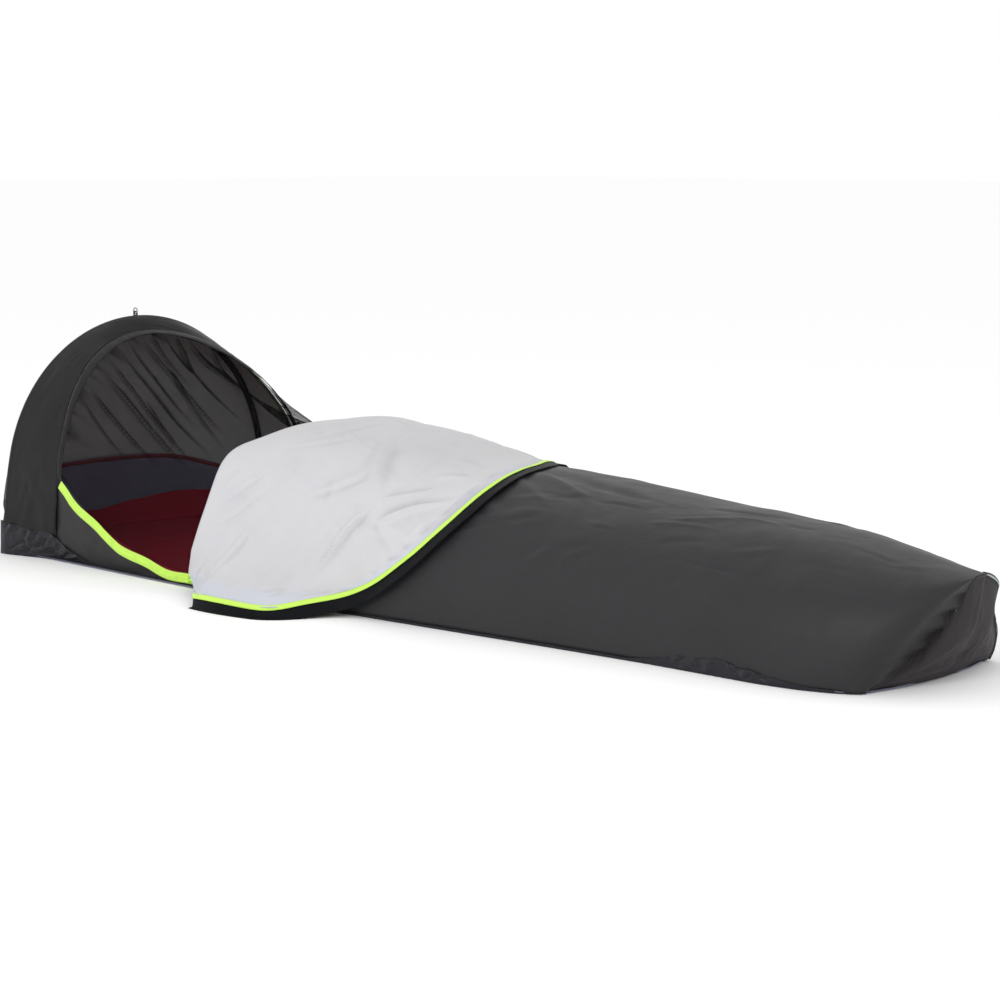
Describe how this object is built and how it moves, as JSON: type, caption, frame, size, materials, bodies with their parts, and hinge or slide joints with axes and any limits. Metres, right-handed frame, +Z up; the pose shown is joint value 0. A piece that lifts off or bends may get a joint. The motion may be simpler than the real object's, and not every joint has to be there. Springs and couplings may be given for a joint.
{
  "type": "bivy sack",
  "caption": "Single-pole hooped bivy sack with bathtub floor, zipped insect screen and an outer door thrown back over the body.",
  "frame": {"origin": "on the ground, at the middle of the floor's underside", "axes": "+X towards the foot, +Y towards the sleeper's left, +Z up; the pole hoop stands at the -X end"},
  "size_m": [2.1089, 0.8508, 0.4542],
  "materials": {
    "charcoal_fabric": "matte",
    "floor_fabric": "satin",
    "inner_coating": "satin",
    "red_fabric": "matte",
    "white_fabric": "matte",
    "zip_tape": "matte",
    "zip_coil": "matte",
    "netting": "matte",
    "pole_tube": "satin",
    "ferrule": "satin",
    "cord": "matte",
    "black_plastic": "matte",
    "webbing": "matte",
    "slider_metal": "satin"
  },
  "bodies": {
    "sack": {"floor_panel": "floor_fabric", "floor_rim_near": "floor_fabric", "floor_rim_far": "floor_fabric", "floor_head_wall": "inner_coating", "head_seam_tape": "red_fabric", "floor_liner": "red_fabric", "body_shell": "charcoal_fabric", "foot_panel": "charcoal_fabric", "foot_seam_piping": "charcoal_fabric", "chest_hem": "charcoal_fabric", "side_wall_near": "charcoal_fabric", "side_wall_far": "charcoal_fabric", "head_panel": "charcoal_fabric", "hoop_band": "charcoal_fabric", "pole_sleeve": "charcoal_fabric", "pole_segment_1": "pole_tube", "pole_segment_2": "pole_tube", "pole_segment_3": "pole_tube", "pole_segment_4": "pole_tube", "pole_ferrule_1": "ferrule", "pole_ferrule_2": "ferrule", "pole_ferrule_3": "ferrule", "shock_cord": "cord", "pole_tip_near": "black_plastic", "pole_tip_far": "black_plastic", "pole_pocket_near": "black_plastic", "pole_pocket_far": "black_plastic", "wall_zip_tape_near": "zip_tape", "wall_zip_tape_far": "zip_tape", "wall_zip_coil_near": "zip_coil", "wall_zip_coil_far": "zip_coil", "hoop_zip_tape": "zip_tape", "apex_tab": "charcoal_fabric"},
    "guy_loop": {"apex_loop": "cord"},
    "near_stake_loop": {"stake_loop_near": "webbing"},
    "far_stake_loop": {"stake_loop_far": "webbing"},
    "screen_door": {"insect_screen": "netting", "screen_zip_tape_near": "zip_tape", "screen_zip_tape_far": "zip_tape", "screen_zip_coil_near": "zip_coil", "screen_zip_coil_far": "zip_coil", "screen_hoop_tape": "zip_tape"},
    "top_door": {"outer_door": "white_fabric", "door_zip_tape": "zip_tape", "rain_flap": "charcoal_fabric"},
    "near_slider": {"zip_slider_near": "slider_metal"},
    "far_slider": {"zip_slider_far": "slider_metal"},
    "near_pull": {"pull_tab_near": "slider_metal"},
    "far_pull": {"pull_tab_far": "slider_metal"}
  },
  "joints": [
    {"name": "door_fold", "type": "hinge", "parent": "sack", "child": "top_door", "pos_m": [-0.37, 0, 0.272], "axis": [0, -1, 0], "range_deg": [0, 100]},
    {"name": "screen_fold", "type": "hinge", "parent": "sack", "child": "screen_door", "pos_m": [-0.379, 0, 0.264], "axis": [0, 1, 0], "range_deg": [0, 50]},
    {"name": "near_slider_travel", "type": "hinge", "parent": "sack", "child": "near_slider", "pos_m": [-0.39, -0.3005, 0.656], "axis": [0, 1, 0], "range_deg": [0, 35]},
    {"name": "far_slider_travel", "type": "hinge", "parent": "sack", "child": "far_slider", "pos_m": [-0.39, 0.3005, 0.656], "axis": [0, 1, 0], "range_deg": [0, 35]},
    {"name": "near_pull_swing", "type": "hinge", "parent": "near_slider", "child": "near_pull", "pos_m": [-0.39, -0.3065, 0.016], "axis": [0, 0, -1], "range_deg": [0, 150]},
    {"name": "far_pull_swing", "type": "hinge", "parent": "far_slider", "child": "far_pull", "pos_m": [-0.39, 0.3065, 0.016], "axis": [0, 0, 1], "range_deg": [0, 150]},
    {"name": "guy_loop_swing", "type": "hinge", "parent": "sack", "child": "guy_loop", "pos_m": [-0.9323, 0, 0.442], "axis": [1, 0, 0], "range_deg": [-60, 60]},
    {"name": "near_stake_loop_swing", "type": "hinge", "parent": "sack", "child": "near_stake_loop", "pos_m": [-1.0234, -0.2, 0.001], "axis": [0, 1, 0], "range_deg": [0, 80]},
    {"name": "far_stake_loop_swing", "type": "hinge", "parent": "sack", "child": "far_stake_loop", "pos_m": [-1.0234, 0.2, 0.001], "axis": [0, 1, 0], "range_deg": [0, 80]}
  ]
}
